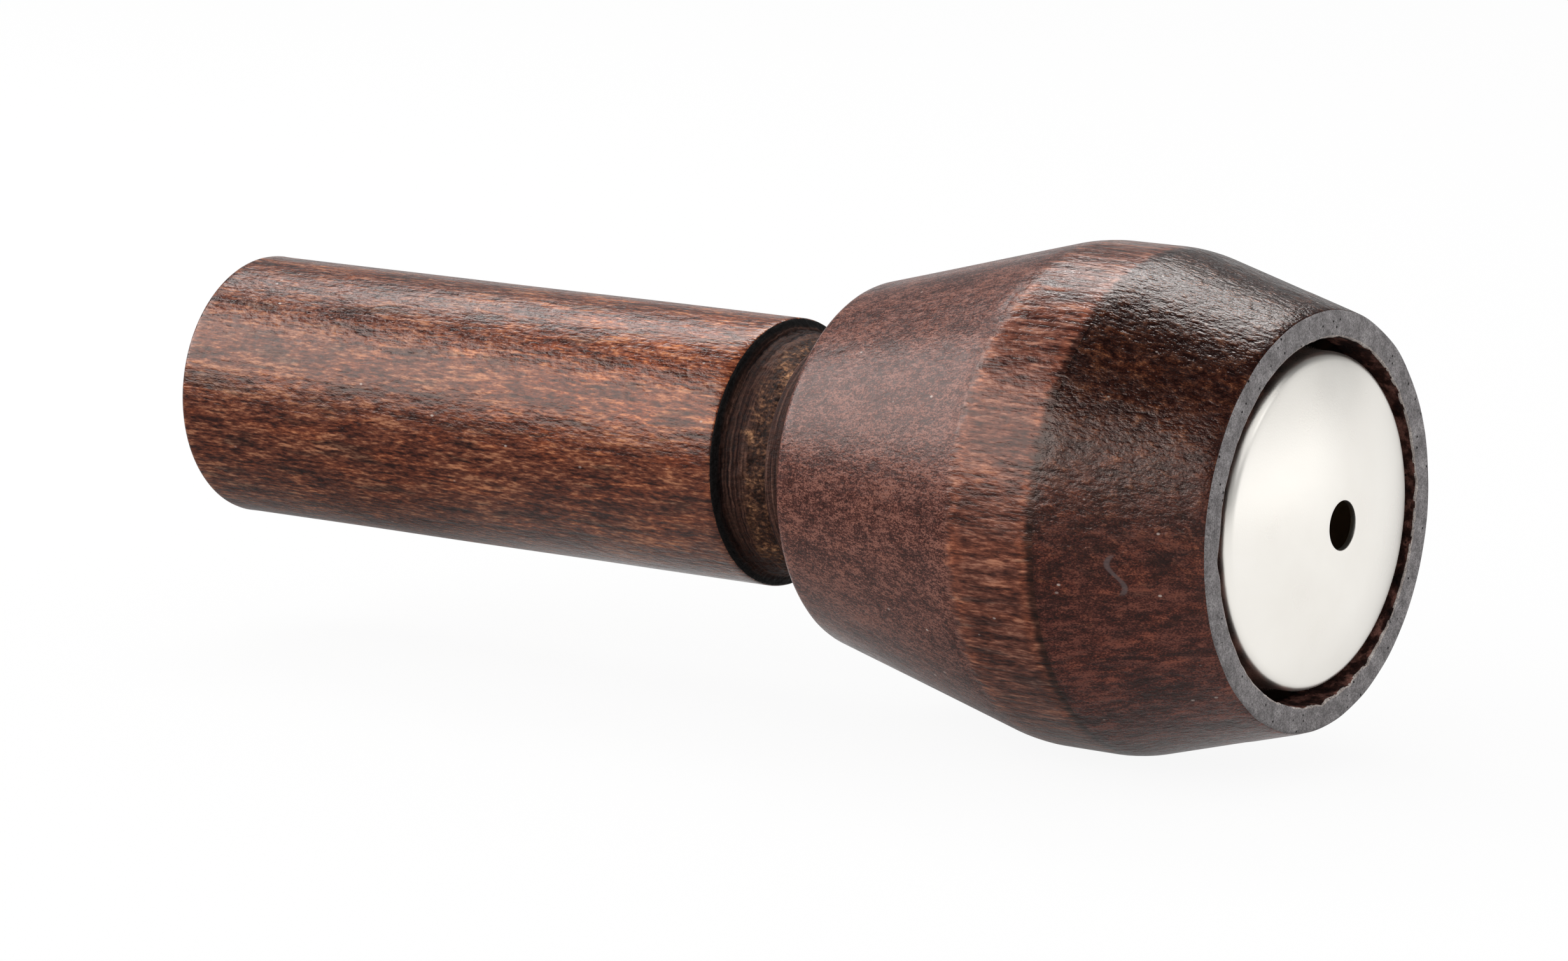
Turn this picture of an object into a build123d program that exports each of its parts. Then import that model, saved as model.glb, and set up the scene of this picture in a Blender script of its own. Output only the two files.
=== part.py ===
"""Mouth-blown bird call: a turned wooden stem pushed into a turned wooden barrel, which holds a
two-dish whistle capsule in its front end.

The call lies along X. The origin is the centre of the mouth end, X runs from there to the sounding
end, and Z is up. Sizes are in millimetres. Every piece is turned about the X axis, so each section
is drawn in the XY plane with X along the call and Y as the radius.
"""

import os
from math import atan2, cos, pi, sin, sqrt

from build123d import *

# Stem, the handle that is blown into
stem_radius = 8.5
stem_length = 43.3
mouth_edge_round = 0.35
airway_radius = 3.0

# Lanyard groove between the stem and the barrel
groove_lip_drop = 0.7
groove_lip_length = 0.45
neck_length = 3.7
neck_step = 0.6
joint_line_gap = 0.05

# Tenon at the stem's front end and the two O-rings that seal it
tenon_length = 15.0
tenon_clearance = 0.05
tenon_lead = 0.5
o_ring_names = ["o_ring_rear", "o_ring_front"]
o_ring_width = 1.9
o_ring_groove_depth = 1.3
o_ring_end_play = 0.1
o_ring_clearance = 0.03

# Barrel, outside
collar_wall = 1.6
collar_length = 3.3
barrel_rear_radius = 11.4
barrel_rear_round = 0.6
rear_cone_length = 15.7
band_radius = 15.5
band_length = 5.8
band_edge_round = 8.0
front_cone_length = 10.5
rim_wall = 1.6
rim_edge_round = 0.2

# Barrel, inside
socket_radius = 6.2
socket_lead = 0.4
funnel_length = 3.7
seat_radius = 11.1
seat_ledge = 1.2
seat_clearance = 0.05
dome_room = 2.4

# Whistle capsule: two dished sheet metal discs and the washer that they sit on
sheet = 0.4
whistle_hole_radius = 1.5
dome_proud = 1.65
knuckle_depth = 0.72
knuckle_bend = 0.4
flange_width = 0.85
flange_depth = 2.4
rear_dish_rise = 2.6
rear_dish_clearance = 0.4
washer_thickness = 1.0

# Stations along X
joint_x = stem_length + neck_length
tenon_end_x = joint_x + tenon_length
barrel_rear_x = joint_x + collar_length
band_rear_x = barrel_rear_x + rear_cone_length
band_front_x = band_rear_x + band_length
rim_x = band_front_x + front_cone_length
flange_front_x = rim_x - flange_depth
flange_joint_x = flange_front_x - sheet
flange_rear_x = flange_joint_x - sheet
seat_x = flange_rear_x - washer_thickness
rear_apex_x = flange_rear_x - rear_dish_rise
chamber_floor_x = rear_apex_x - dome_room
funnel_x = chamber_floor_x - funnel_length

# Radii that follow from the driving sizes
groove_lip_radius = stem_radius - groove_lip_drop
collar_radius = socket_radius + collar_wall
neck_end_radius = collar_radius - neck_step
tenon_radius = socket_radius - tenon_clearance
o_ring_floor_radius = tenon_radius - o_ring_groove_depth
rim_radius = seat_radius + rim_wall
chamber_radius = seat_radius - seat_ledge
flange_radius = seat_radius - seat_clearance
skirt_radius = flange_radius - flange_width
rear_dome_radius = chamber_radius - rear_dish_clearance

os.makedirs("parts", exist_ok=True)


def o_ring_x(index):
    """Middle of an O-ring along X, with the rings spread evenly over the tenon."""
    return joint_x + tenon_length * (index + 1) / (len(o_ring_names) + 1)


def save(builder, name):
    """Label a finished piece and write its STEP file."""
    builder.part.label = name
    export_step(builder.part, f"parts/{name}.step")


# Stem: mouth end, grip, neck and tenon in one turned piece with the airway drilled through it
stem_outline = [
    (0, airway_radius),
    (0, stem_radius),
    (stem_length, stem_radius),
    (stem_length + groove_lip_length, groove_lip_radius),
    (joint_x - joint_line_gap, neck_end_radius),
    (joint_x - joint_line_gap, tenon_radius),
    (tenon_end_x - tenon_lead, tenon_radius),
    (tenon_end_x, tenon_radius - tenon_lead),
    (tenon_end_x, airway_radius),
]
o_ring_groove_width = o_ring_width + 2 * o_ring_end_play

with BuildPart() as stem:
    with BuildSketch():
        with BuildLine():
            Polyline(*stem_outline, close=True)
        make_face()
        for index in range(len(o_ring_names)):
            with Locations((o_ring_x(index), o_ring_floor_radius)):
                Rectangle(
                    o_ring_groove_width,
                    o_ring_groove_depth * 2,
                    align=(Align.CENTER, Align.MIN),
                    mode=Mode.SUBTRACT,
                )
    revolve(axis=Axis.X)
    mouth_edge = stem.edges().filter_by(GeomType.CIRCLE).group_by(Axis.X)[0].sort_by(SortBy.RADIUS)[-1]
    fillet(mouth_edge, mouth_edge_round)
save(stem, "stem")

# O-rings: each is drawn squeezed flat between its groove floor and the socket wall
o_ring_inner_radius = o_ring_floor_radius + o_ring_clearance
o_ring_outer_radius = socket_radius - o_ring_clearance
o_ring_middle_radius = (o_ring_inner_radius + o_ring_outer_radius) / 2
o_ring_half_height = (o_ring_outer_radius - o_ring_inner_radius) / 2

for index, ring_name in enumerate(o_ring_names):
    with BuildPart() as o_ring:
        with BuildSketch():
            with Locations((o_ring_x(index), o_ring_middle_radius)):
                Ellipse(o_ring_width / 2, o_ring_half_height)
        revolve(axis=Axis.X)
    save(o_ring, ring_name)

# Barrel: collar, two cones and the band between them, bored for the tenon and the capsule
collar_corner = (joint_x, collar_radius)
barrel_rear_corner = (barrel_rear_x, barrel_rear_radius)
band_rear_corner = (band_rear_x, band_radius)
band_front_corner = (band_front_x, band_radius)
rim_corner = (rim_x, rim_radius)
barrel_outline = [
    (joint_x, socket_radius + socket_lead),
    collar_corner,
    (barrel_rear_x, collar_radius),
    barrel_rear_corner,
    band_rear_corner,
    band_front_corner,
    rim_corner,
    (rim_x, seat_radius),
    (seat_x, seat_radius),
    (seat_x, chamber_radius),
    (chamber_floor_x, chamber_radius),
    (funnel_x, socket_radius),
    (joint_x + socket_lead, socket_radius),
]


def corner(sketch, point):
    """The sketch's vertex at an outline point."""
    return sketch.vertices().sort_by_distance((point[0], point[1], 0))[0]


with BuildPart() as barrel:
    with BuildSketch() as barrel_section:
        with BuildLine():
            Polyline(*barrel_outline, close=True)
        make_face()
        fillet(corner(barrel_section, barrel_rear_corner), barrel_rear_round)
        fillet(corner(barrel_section, band_rear_corner), band_edge_round)
        fillet(corner(barrel_section, band_front_corner), band_edge_round)
        fillet(corner(barrel_section, rim_corner), rim_edge_round)
    revolve(axis=Axis.X)
save(barrel, "barrel")

# Seat washer: a flat ring that seals the capsule against the ledge in the barrel
with BuildPart() as seat_washer:
    with BuildSketch(Plane.YZ.offset(seat_x)):
        Circle(flange_radius)
        Circle(chamber_radius, mode=Mode.SUBTRACT)
    extrude(amount=washer_thickness)
save(seat_washer, "seat_washer")

# Rear dish: a shallow cap that bulges back into the chamber, with a flat flange
rear_outer_sphere = (rear_dish_rise**2 + rear_dome_radius**2) / (2 * rear_dish_rise)
rear_inner_sphere = rear_outer_sphere - sheet
rear_centre_x = rear_apex_x + rear_outer_sphere
rear_inner_radius = sqrt(rear_inner_sphere**2 - (rear_centre_x - flange_joint_x) ** 2)
rear_outer_angle = atan2(rear_dome_radius, rear_centre_x - flange_rear_x) / 2
rear_inner_angle = atan2(rear_inner_radius, rear_centre_x - flange_joint_x) / 2


def rear_sphere_point(sphere, angle):
    """A point on one of the rear dish's two spheres, its angle measured from the apex."""
    return (rear_centre_x - sphere * cos(angle), sphere * sin(angle))


with BuildPart() as rear_dish:
    with BuildSketch():
        with BuildLine():
            ThreePointArc(
                (rear_apex_x, 0),
                rear_sphere_point(rear_outer_sphere, rear_outer_angle),
                (flange_rear_x, rear_dome_radius),
            )
            Polyline(
                (flange_rear_x, rear_dome_radius),
                (flange_rear_x, flange_radius),
                (flange_joint_x, flange_radius),
                (flange_joint_x, rear_inner_radius),
            )
            ThreePointArc(
                (flange_joint_x, rear_inner_radius),
                rear_sphere_point(rear_inner_sphere, rear_inner_angle),
                (rear_apex_x + sheet, 0),
            )
            Line((rear_apex_x + sheet, 0), (rear_apex_x, 0))
        make_face()
    revolve(axis=Axis.X)
    with BuildSketch(Plane.YZ.offset(rear_apex_x - sheet)):
        Circle(whistle_hole_radius)
    extrude(amount=rear_dish_rise, mode=Mode.SUBTRACT)
save(rear_dish, "rear_dish")

# Front dish: a low dome, a tight knuckle and a skirt down to the flange, all of one sheet
apex_x = rim_x + dome_proud
knuckle_radius = knuckle_bend + sheet
knuckle_x = rim_x - knuckle_depth
knuckle_centre_radius = skirt_radius - knuckle_radius
knuckle_drop = apex_x - knuckle_x
dome_sphere = (knuckle_drop**2 + knuckle_centre_radius**2 - knuckle_radius**2) / (
    2 * (knuckle_drop - knuckle_radius)
)
dome_centre_x = apex_x - dome_sphere
dome_angle = atan2(knuckle_centre_radius, knuckle_x - dome_centre_x)
knuckle_middle_angle = (dome_angle + pi / 2) / 2


def dome_point(depth, angle):
    """A point on the dome, a depth below its outer face, its angle measured from the apex."""
    sphere = dome_sphere - depth
    return (dome_centre_x + sphere * cos(angle), sphere * sin(angle))


def knuckle_point(depth, angle):
    """A point on the knuckle, a depth below its outer face."""
    bend = knuckle_radius - depth
    return (knuckle_x + bend * cos(angle), knuckle_centre_radius + bend * sin(angle))


with BuildPart() as front_dish:
    with BuildSketch():
        with BuildLine():
            for depth in (0, sheet):
                ThreePointArc(
                    dome_point(depth, 0),
                    dome_point(depth, dome_angle / 2),
                    dome_point(depth, dome_angle),
                )
                ThreePointArc(
                    dome_point(depth, dome_angle),
                    knuckle_point(depth, knuckle_middle_angle),
                    knuckle_point(depth, pi / 2),
                )
            Polyline(
                knuckle_point(0, pi / 2),
                (flange_front_x, skirt_radius),
                (flange_front_x, flange_radius),
                (flange_joint_x, flange_radius),
                (flange_joint_x, skirt_radius - sheet),
                knuckle_point(sheet, pi / 2),
            )
            Line(dome_point(0, 0), dome_point(sheet, 0))
        make_face()
    revolve(axis=Axis.X)
    with BuildSketch(Plane.YZ.offset(apex_x + sheet)):
        Circle(whistle_hole_radius)
    extrude(amount=-dome_proud - sheet, mode=Mode.SUBTRACT)
save(front_dish, "front_dish")
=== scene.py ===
"""Looks of the bird call: stained turned wood, a satin metal dish, and the studio round them.

Everything is in metres in the part's own frame: X runs along the call from the mouth end, Z is up.
Sizes written in millimetres are multiplied by MM where they are used.
"""

from math import atan2, ceil, cos, hypot, pi, radians, sin

import bmesh
import bpy
from mathutils import Matrix, Vector, noise


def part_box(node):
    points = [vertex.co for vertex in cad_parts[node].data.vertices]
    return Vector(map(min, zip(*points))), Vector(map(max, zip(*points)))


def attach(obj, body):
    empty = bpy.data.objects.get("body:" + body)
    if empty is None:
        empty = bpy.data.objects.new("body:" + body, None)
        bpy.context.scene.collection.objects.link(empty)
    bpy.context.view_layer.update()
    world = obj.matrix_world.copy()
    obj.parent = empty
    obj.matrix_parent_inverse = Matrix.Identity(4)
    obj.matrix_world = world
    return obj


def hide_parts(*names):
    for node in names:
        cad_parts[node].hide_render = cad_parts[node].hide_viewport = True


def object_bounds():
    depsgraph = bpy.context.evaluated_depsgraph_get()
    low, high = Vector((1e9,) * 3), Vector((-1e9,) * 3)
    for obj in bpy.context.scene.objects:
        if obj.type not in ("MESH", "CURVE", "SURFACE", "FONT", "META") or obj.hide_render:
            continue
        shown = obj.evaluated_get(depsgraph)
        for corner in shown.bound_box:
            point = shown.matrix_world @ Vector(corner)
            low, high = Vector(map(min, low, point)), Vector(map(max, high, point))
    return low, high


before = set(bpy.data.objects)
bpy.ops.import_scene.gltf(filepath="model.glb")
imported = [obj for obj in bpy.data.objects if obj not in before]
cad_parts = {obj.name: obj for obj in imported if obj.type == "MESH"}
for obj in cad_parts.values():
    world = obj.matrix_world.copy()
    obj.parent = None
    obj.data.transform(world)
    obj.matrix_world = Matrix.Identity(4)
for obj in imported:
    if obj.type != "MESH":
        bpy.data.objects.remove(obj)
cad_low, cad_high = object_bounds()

MM = 0.001

# Sizes read from the frame, in millimetres
stem_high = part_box("stem")[1]
barrel_low, barrel_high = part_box("barrel")
dish_low, dish_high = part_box("front_dish")
STEM_RADIUS = stem_high.z / MM
TENON_END_X = stem_high.x / MM
JOINT_X = barrel_low.x / MM
RIM_X = barrel_high.x / MM
BAND_RADIUS = barrel_high.z / MM
APEX_X = dish_high.x / MM
FLANGE_RADIUS = dish_high.z / MM
FLANGE_REAR_X = dish_low.x / MM

# Stem, in millimetres
AIRWAY_RADIUS = 3.0
STEM_FRONT_X = 43.3
LIP_X = 43.75
LIP_RADIUS = 7.8
NECK_END_RADIUS = 7.2
JOINT_GAP = 0.05
NECK_X = JOINT_X - JOINT_GAP
TENON_RADIUS = 6.15
TENON_LEAD = 0.5
RING_FLOOR_RADIUS = 4.85
RING_GROOVE_HALF = 1.05
RING_XS = [JOINT_X + (TENON_END_X - JOINT_X) / 3 * count for count in (1, 2)]

# Barrel, in millimetres
COLLAR_RADIUS = 7.8
BARREL_REAR_X = 50.3
BARREL_REAR_RADIUS = 11.4
BAND_REAR_X = 66.0
BAND_FRONT_X = 71.8
RIM_RADIUS = 12.7
SEAT_RADIUS = 11.1
SEAT_X = 78.1
CHAMBER_RADIUS = 9.9
CHAMBER_FLOOR_X = 74.1
FUNNEL_X = 70.4
SOCKET_RADIUS = 6.2
SOCKET_LEAD = 0.4

# Front dish, in millimetres
SHEET = 0.4
HOLE_RADIUS = 1.5
SKIRT_RADIUS = 10.2
KNUCKLE_RADIUS = 0.8
KNUCKLE_X = RIM_X - 0.72

# Eased edges, in millimetres
MOUTH_ROUND = 0.4
AIRWAY_ROUND = 0.3
CUT_ROUND = 0.12
REAR_ROUND = 0.6
BAND_ROUND = 1.0
RIM_ROUND = 0.2
HOLE_ROUND = 0.05

# Steps between loops, in millimetres, and steps round a turned piece
PLAIN_STEP = 0.6
SEAT_STEP = 0.2
EDGE_STEP = 0.15
GROOVE_STEP = 0.12
WOOD_SPIN_STEPS = 320
DISH_SPIN_STEPS = 256
DOME_STEPS = 24
KNUCKLE_STEPS = 8

# How closely a place on an outline is matched, in millimetres
TOLERANCE = 1e-4

# Distance under which vertices of a spun outline are merged, in metres
MERGE_DISTANCE = 1e-8


# Turning: a closed outline is spun about X, its corners are bevelled and its long runs divided


def radius_of(vert):
    """A vertex's distance from the X axis, in millimetres."""
    return hypot(vert.co.y, vert.co.z) / MM


def ring_edges(bm, x, radius):
    """The edges of one turned ring, found by the ring's place on the outline."""

    def on_ring(vert):
        return abs(vert.co.x / MM - x) < TOLERANCE and abs(radius_of(vert) - radius) < TOLERANCE

    return [edge for edge in bm.edges if all(on_ring(vert) for vert in edge.verts)]


def divide_runs(bm, runs):
    """Divide the straight runs of a turned shape into loops, each run with its own step."""
    for start_x, end_x, low_radius, high_radius, step in runs:
        groups = {}
        for edge in bm.edges:
            places = [vert.co.x / MM for vert in edge.verts]
            radii = [radius_of(vert) for vert in edge.verts]
            along = abs(places[0] - places[1]) > TOLERANCE or abs(radii[0] - radii[1]) > TOLERANCE
            inside = (
                start_x - TOLERANCE <= min(places)
                and max(places) <= end_x + TOLERANCE
                and low_radius - TOLERANCE <= min(radii)
                and max(radii) <= high_radius + TOLERANCE
            )
            if along and inside:
                cuts = ceil(edge.calc_length() / (step * MM)) - 1
                groups.setdefault(cuts, []).append(edge)
        for cuts, edges in groups.items():
            if cuts > 0:
                bmesh.ops.subdivide_edges(bm, edges=edges, cuts=cuts, use_grid_fill=True)


def turned(outline, rounds, runs, steps):
    """A bmesh turned about X from a closed outline of (x, radius) points in millimetres.

    rounds gives (x, radius, size, segments) for each corner that is eased, and runs gives
    (start x, end x, lowest radius, highest radius, step) for each stretch that is divided.
    """
    bm = bmesh.new()
    verts = [bm.verts.new((x * MM, radius * MM, 0)) for x, radius in outline]
    edges = [bm.edges.new((verts[i - 1], verts[i])) for i in range(len(verts))]
    bmesh.ops.spin(
        bm,
        geom=verts + edges,
        cent=(0, 0, 0),
        axis=(1, 0, 0),
        angle=2 * pi,
        steps=steps,
        use_merge=True,
    )
    bmesh.ops.remove_doubles(bm, verts=bm.verts, dist=MERGE_DISTANCE)
    for x, radius, size, segments in rounds:
        bmesh.ops.bevel(
            bm,
            geom=ring_edges(bm, x, radius),
            offset=size * MM,
            segments=segments,
            profile=0.5,
            affect="EDGES",
            material=-1,
        )
    divide_runs(bm, runs)
    return bm


def finished(bm, name, materials, pick):
    """Make an object of a bmesh, with smooth faces whose material is picked by their place."""
    bmesh.ops.recalc_face_normals(bm, faces=bm.faces)
    for face in bm.faces:
        centre = face.calc_center_median()
        face.smooth = True
        picked = pick(centre.x / MM, hypot(centre.y, centre.z) / MM, face.normal)
        face.material_index = materials.index(picked)
    mesh = bpy.data.meshes.new(name)
    bm.to_mesh(mesh)
    bm.free()
    for material in materials:
        mesh.materials.append(material)
    piece = bpy.data.objects.new(name, mesh)
    bpy.context.scene.collection.objects.link(piece)
    return piece


def move_radially(vert, amount):
    """Move a vertex away from the X axis by an amount in millimetres."""
    angle = atan2(vert.co.z, vert.co.y)
    vert.co.y += cos(angle) * amount * MM
    vert.co.z += sin(angle) * amount * MM


def clamped(value):
    """A value held between 0 and 1."""
    return min(1.0, max(0.0, value))


def near(value, middle, reach):
    """1 at the middle, falling smoothly to 0 at the reach."""
    share = max(0.0, 1.0 - abs(value - middle) / reach)
    return share * share * (3 - 2 * share)


# How far a seed moves a noise along X, Y and Z
SEED_STEPS = (1.0, 1.7, 2.3)


def rough(vert, depth, across, along, seed):
    """Noise at a vertex, up to the depth each way, with its grain in millimetres across and along X."""
    place = Vector((vert.co.x / along, vert.co.y / across, vert.co.z / across)) / MM
    shift = Vector([seed * step for step in SEED_STEPS])
    return depth * noise.noise(place + shift)


# Node helpers


def node(tree, kind, inputs=None, **settings):
    """Add a node, set its options, and set or link its inputs."""
    made = tree.nodes.new(kind)
    for key, value in settings.items():
        setattr(made, key, value)
    set_inputs(tree, made, inputs or {})
    return made


def set_inputs(tree, made, inputs):
    """Set a node's inputs to values, or link them to other nodes."""
    for key, value in inputs.items():
        if isinstance(value, bpy.types.NodeSocket):
            tree.links.new(value, made.inputs[key])
        else:
            made.inputs[key].default_value = value


def calculate(tree, operation, first, second=0.0):
    """A Math node's result."""
    return node(tree, "ShaderNodeMath", {0: first, 1: second}, operation=operation).outputs[0]


def spread(tree, value, low, high, to_low=0.0, to_high=1.0):
    """A value mapped smoothly from one range to another, and held at the ends."""
    inputs = {"Value": value, "From Min": low, "From Max": high, "To Min": to_low, "To Max": to_high}
    return node(tree, "ShaderNodeMapRange", inputs, interpolation_type="SMOOTHSTEP").outputs[0]


def spread_mm(tree, value, low, high, to_low=0.0, to_high=1.0):
    """A length mapped smoothly from a range in millimetres to another range."""
    return spread(tree, value, low * MM, high * MM, to_low, to_high)


def off_middle(tree, value, middle):
    """How far a coordinate is from a middle in millimetres, either way."""
    return calculate(tree, "ABSOLUTE", calculate(tree, "SUBTRACT", value, middle * MM))


def wandering(tree, x, tone, reach):
    """An X coordinate that wanders with a tone, within a reach in millimetres."""
    shift = calculate(tree, "MULTIPLY", calculate(tree, "SUBTRACT", tone, 0.5), reach * MM)
    return calculate(tree, "ADD", x, shift)


def weighted(tree, parts):
    """A sum of values, each times its share."""
    total = 0.0
    for value, share in parts:
        inputs = {0: value, 1: share, 2: total}
        total = node(tree, "ShaderNodeMath", inputs, operation="MULTIPLY_ADD").outputs[0]
    return total


def mixed_tones(tree, tones, shares):
    """A sum of a group's tones, each times the share under its name."""
    return weighted(tree, [(tones[label], share) for label, share in shares.items()])


def blend_colour(tree, factor, first, second, mode="MIX"):
    """Two colours mixed."""
    inputs = {0: factor, 6: first, 7: second}
    return node(tree, "ShaderNodeMix", inputs, data_type="RGBA", blend_type=mode).outputs[2]


def tinted(tree, mask, share, colour, tint):
    """A colour multiplied by a tint where a mask is on."""
    return blend_colour(tree, calculate(tree, "MULTIPLY", mask, share), colour, (*tint, 1.0), "MULTIPLY")


def shaded(tree, colour, value):
    """A colour multiplied by a value that changes over the surface."""
    inputs = {"Red": value, "Green": value, "Blue": value}
    grey = node(tree, "ShaderNodeCombineColor", inputs).outputs[0]
    return blend_colour(tree, 1.0, colour, grey, "MULTIPLY")


def ramp(tree, value, stops):
    """A colour ramp from (place, colour) stops."""
    made = node(tree, "ShaderNodeValToRGB", {"Fac": value})
    elements = made.color_ramp.elements
    while len(elements) < len(stops):
        elements.new(0.5)
    for element, (place, colour) in zip(elements, stops):
        element.position = place
        element.color = (*colour, 1.0)
    return made.outputs[0]


def axes_of(tree, place):
    """The X, Y and Z of a place."""
    return node(tree, "ShaderNodeSeparateXYZ", {"Vector": place}).outputs


def stretched(tree, place, along, seed=(0.0, 0.0, 0.0)):
    """Coordinates squeezed along X, so that a noise read from them runs with the grain."""
    inputs = {"Vector": place, "Location": seed, "Scale": (along, 1.0, 1.0)}
    return node(tree, "ShaderNodeMapping", inputs).outputs[0]


def grain_noise(tree, place, scale, detail=3.0, roughness=0.55):
    """A noise value from 0 to 1."""
    inputs = {"Vector": place, "Scale": scale, "Detail": detail, "Roughness": roughness}
    return node(tree, "ShaderNodeTexNoise", inputs).outputs[0]


def dots(tree, place, scale, channel, edge, chosen):
    """Round dots in some cells of a Voronoi pattern.

    edge gives the distances at which a dot begins and is full, and chosen the range of a cell's
    random colour channel from which dots appear.
    """
    inputs = {"Vector": place, "Scale": scale, "Randomness": 1.0}
    cells = node(tree, "ShaderNodeTexVoronoi", inputs).outputs
    drawn = node(tree, "ShaderNodeSeparateColor", {"Color": cells["Color"]}).outputs[channel]
    dot = spread(tree, cells["Distance"], *edge)
    return calculate(tree, "MULTIPLY", dot, spread(tree, drawn, *chosen))


def bump(tree, height, depth_mm):
    """A normal from a height, with the height's full depth in millimetres."""
    return node(tree, "ShaderNodeBump", {"Height": height, "Distance": depth_mm * MM}).outputs[0]


# Shared effects


def new_group(name):
    """An empty shader group and its input place."""
    group = bpy.data.node_groups.new(name, "ShaderNodeTree")
    group.interface.new_socket("Place", in_out="INPUT", socket_type="NodeSocketVector")
    return group, group.nodes.new("NodeGroupInput").outputs["Place"]


def put_out(group, values):
    """Give a group one named output for each value."""
    for label in values:
        group.interface.new_socket(label, in_out="OUTPUT", socket_type="NodeSocketFloat")
    out = group.nodes.new("NodeGroupOutput")
    for label, value in values.items():
        group.links.new(value, out.inputs[label])


def use_group(tree, group, place):
    """A group placed in a material."""
    made = node(tree, "ShaderNodeGroup", node_tree=group)
    tree.links.new(place, made.inputs["Place"])
    return made.outputs


def make_grain_group():
    """Grain of a turned and stained hardwood, with the relief of its varnish.

    Cloud, Streak, Fleck and Fine are tones from coarse to fine. Line, Ink, Glow and Speck are masks of
    fine dark pores, blue-black streaks, orange patches and pale dust. Lump and Pebble are relief.
    """
    group, place = new_group("turned_grain")

    def tone(along, scale, detail, roughness=0.55, seed=(0.0, 0.0, 0.0)):
        return grain_noise(group, stretched(group, place, along, seed), scale, detail, roughness)

    values = {
        "Cloud": tone(0.28, 700.0, 3.0),
        "Streak": tone(0.12, 2600.0, 4.0, 0.6),
        "Fleck": tone(0.22, 6500.0, 3.0, 0.6),
        "Fine": tone(0.5, 13000.0, 2.0, 0.6),
        "Line": spread(group, tone(0.08, 7000.0, 1.0), 0.58, 0.74),
        "Ink": spread(group, tone(0.14, 1500.0, 3.0, seed=(0.3, 0.1, 0.2)), 0.55, 0.65),
        "Glow": spread(group, tone(0.30, 800.0, 2.0, seed=(0.1, 0.4, 0.2)), 0.50, 0.66),
        "Speck": dots(group, stretched(group, place, 0.6), 1100.0, 0, (0.11, 0.05), (0.84, 0.92)),
        "Lump": tone(0.45, 1800.0, 3.0),
        "Pebble": tone(0.6, 3600.0, 3.0, 0.6),
    }
    put_out(group, values)
    return group


def make_torn_group():
    """Torn end grain and ragged cuts: coarse mottle, fine crumbs, finer grit and round pores."""
    group, place = new_group("torn_wood")
    values = {
        "Mottle": grain_noise(group, place, 900.0, 4.0, 0.6),
        "Crumb": grain_noise(group, place, 4500.0, 3.0, 0.6),
        "Grit": grain_noise(group, place, 11000.0, 2.0, 0.6),
        "Hole": dots(group, place, 2600.0, 1, (0.24, 0.12), (0.76, 0.82)),
    }
    put_out(group, values)
    return group


GRAIN = make_grain_group()
TORN = make_torn_group()


# Materials


def new_material(name):
    """A material with its node tree, its Principled shader and its Object coordinates."""
    material = bpy.data.materials.new(name)
    material.use_nodes = True
    tree = material.node_tree
    shader = tree.nodes["Principled BSDF"]
    place = node(tree, "ShaderNodeTexCoord").outputs["Object"]
    return material, tree, shader, place


# The range in which most of a noise lies
NOISE_RANGE = (0.3, 0.7)

# Tints that multiply a stain, one of which paints light on the stem; the dust, and the varnish's sheen
# and its relief in millimetres
ORANGE_TINT = (1.75, 1.50, 1.15)
PAINTED_LIGHT_TINT = (1.32, 1.20, 1.02)
INK_TINT = (0.34, 0.48, 0.62)
PORE_TINT = (0.42, 0.38, 0.38)
SCORCH_TINT = (0.20, 0.18, 0.18)
DUST = (0.62, 0.52, 0.47, 1.0)
DUST_SHARE = 0.7
VARNISH_SHEEN = (1.0, 0.82, 0.74, 1.0)
VARNISH_DEPTH = 0.09


def stained_colour(tree, grain, stops, shares, tints):
    """Stained wood's colour.

    shares weigh the grain's tones by name, and tints say how strong orange, ink and pores are.
    """
    orange, ink, pore = tints
    colour = ramp(tree, mixed_tones(tree, grain, shares), stops)
    colour = tinted(tree, grain["Glow"], orange, colour, ORANGE_TINT)
    colour = tinted(tree, grain["Ink"], ink, colour, INK_TINT)
    return tinted(tree, grain["Line"], pore, colour, PORE_TINT)


def dusted(tree, grain, colour):
    """A colour dotted with pale dust."""
    return blend_colour(tree, calculate(tree, "MULTIPLY", grain["Speck"], DUST_SHARE), colour, DUST)


def varnish_roughness(tree, grain, low, high):
    """Roughness that changes from fleck to fleck, so that a sheen breaks up along the grain."""
    patchy = mixed_tones(tree, grain, {"Streak": 0.5, "Pebble": 0.5})
    return spread(tree, patchy, 0.40, 0.60, low, high)


# Stem stain. In reliefs, a negative share sinks the pores
STEM_STOPS = [
    (0.41, (0.024, 0.007, 0.006)),
    (0.47, (0.086, 0.023, 0.014)),
    (0.53, (0.178, 0.054, 0.029)),
    (0.61, (0.430, 0.185, 0.098)),
]
STEM_TONES = {"Cloud": 0.2, "Streak": 0.33, "Fleck": 0.47}
STEM_TINTS = (0.4, 0.7, 0.5)
STEM_RELIEF = {"Streak": 0.4, "Lump": 0.7, "Pebble": 0.4, "Fleck": 0.06, "Line": -0.06}

# Where the stem's painted light, warmer and lighter above near the groove, begins and is full, along X
# and up Z, in millimetres
PAINTED_LIGHT_XS = (16.0, 34.0)
PAINTED_LIGHT_ZS = (-2.0, 4.0)


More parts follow.
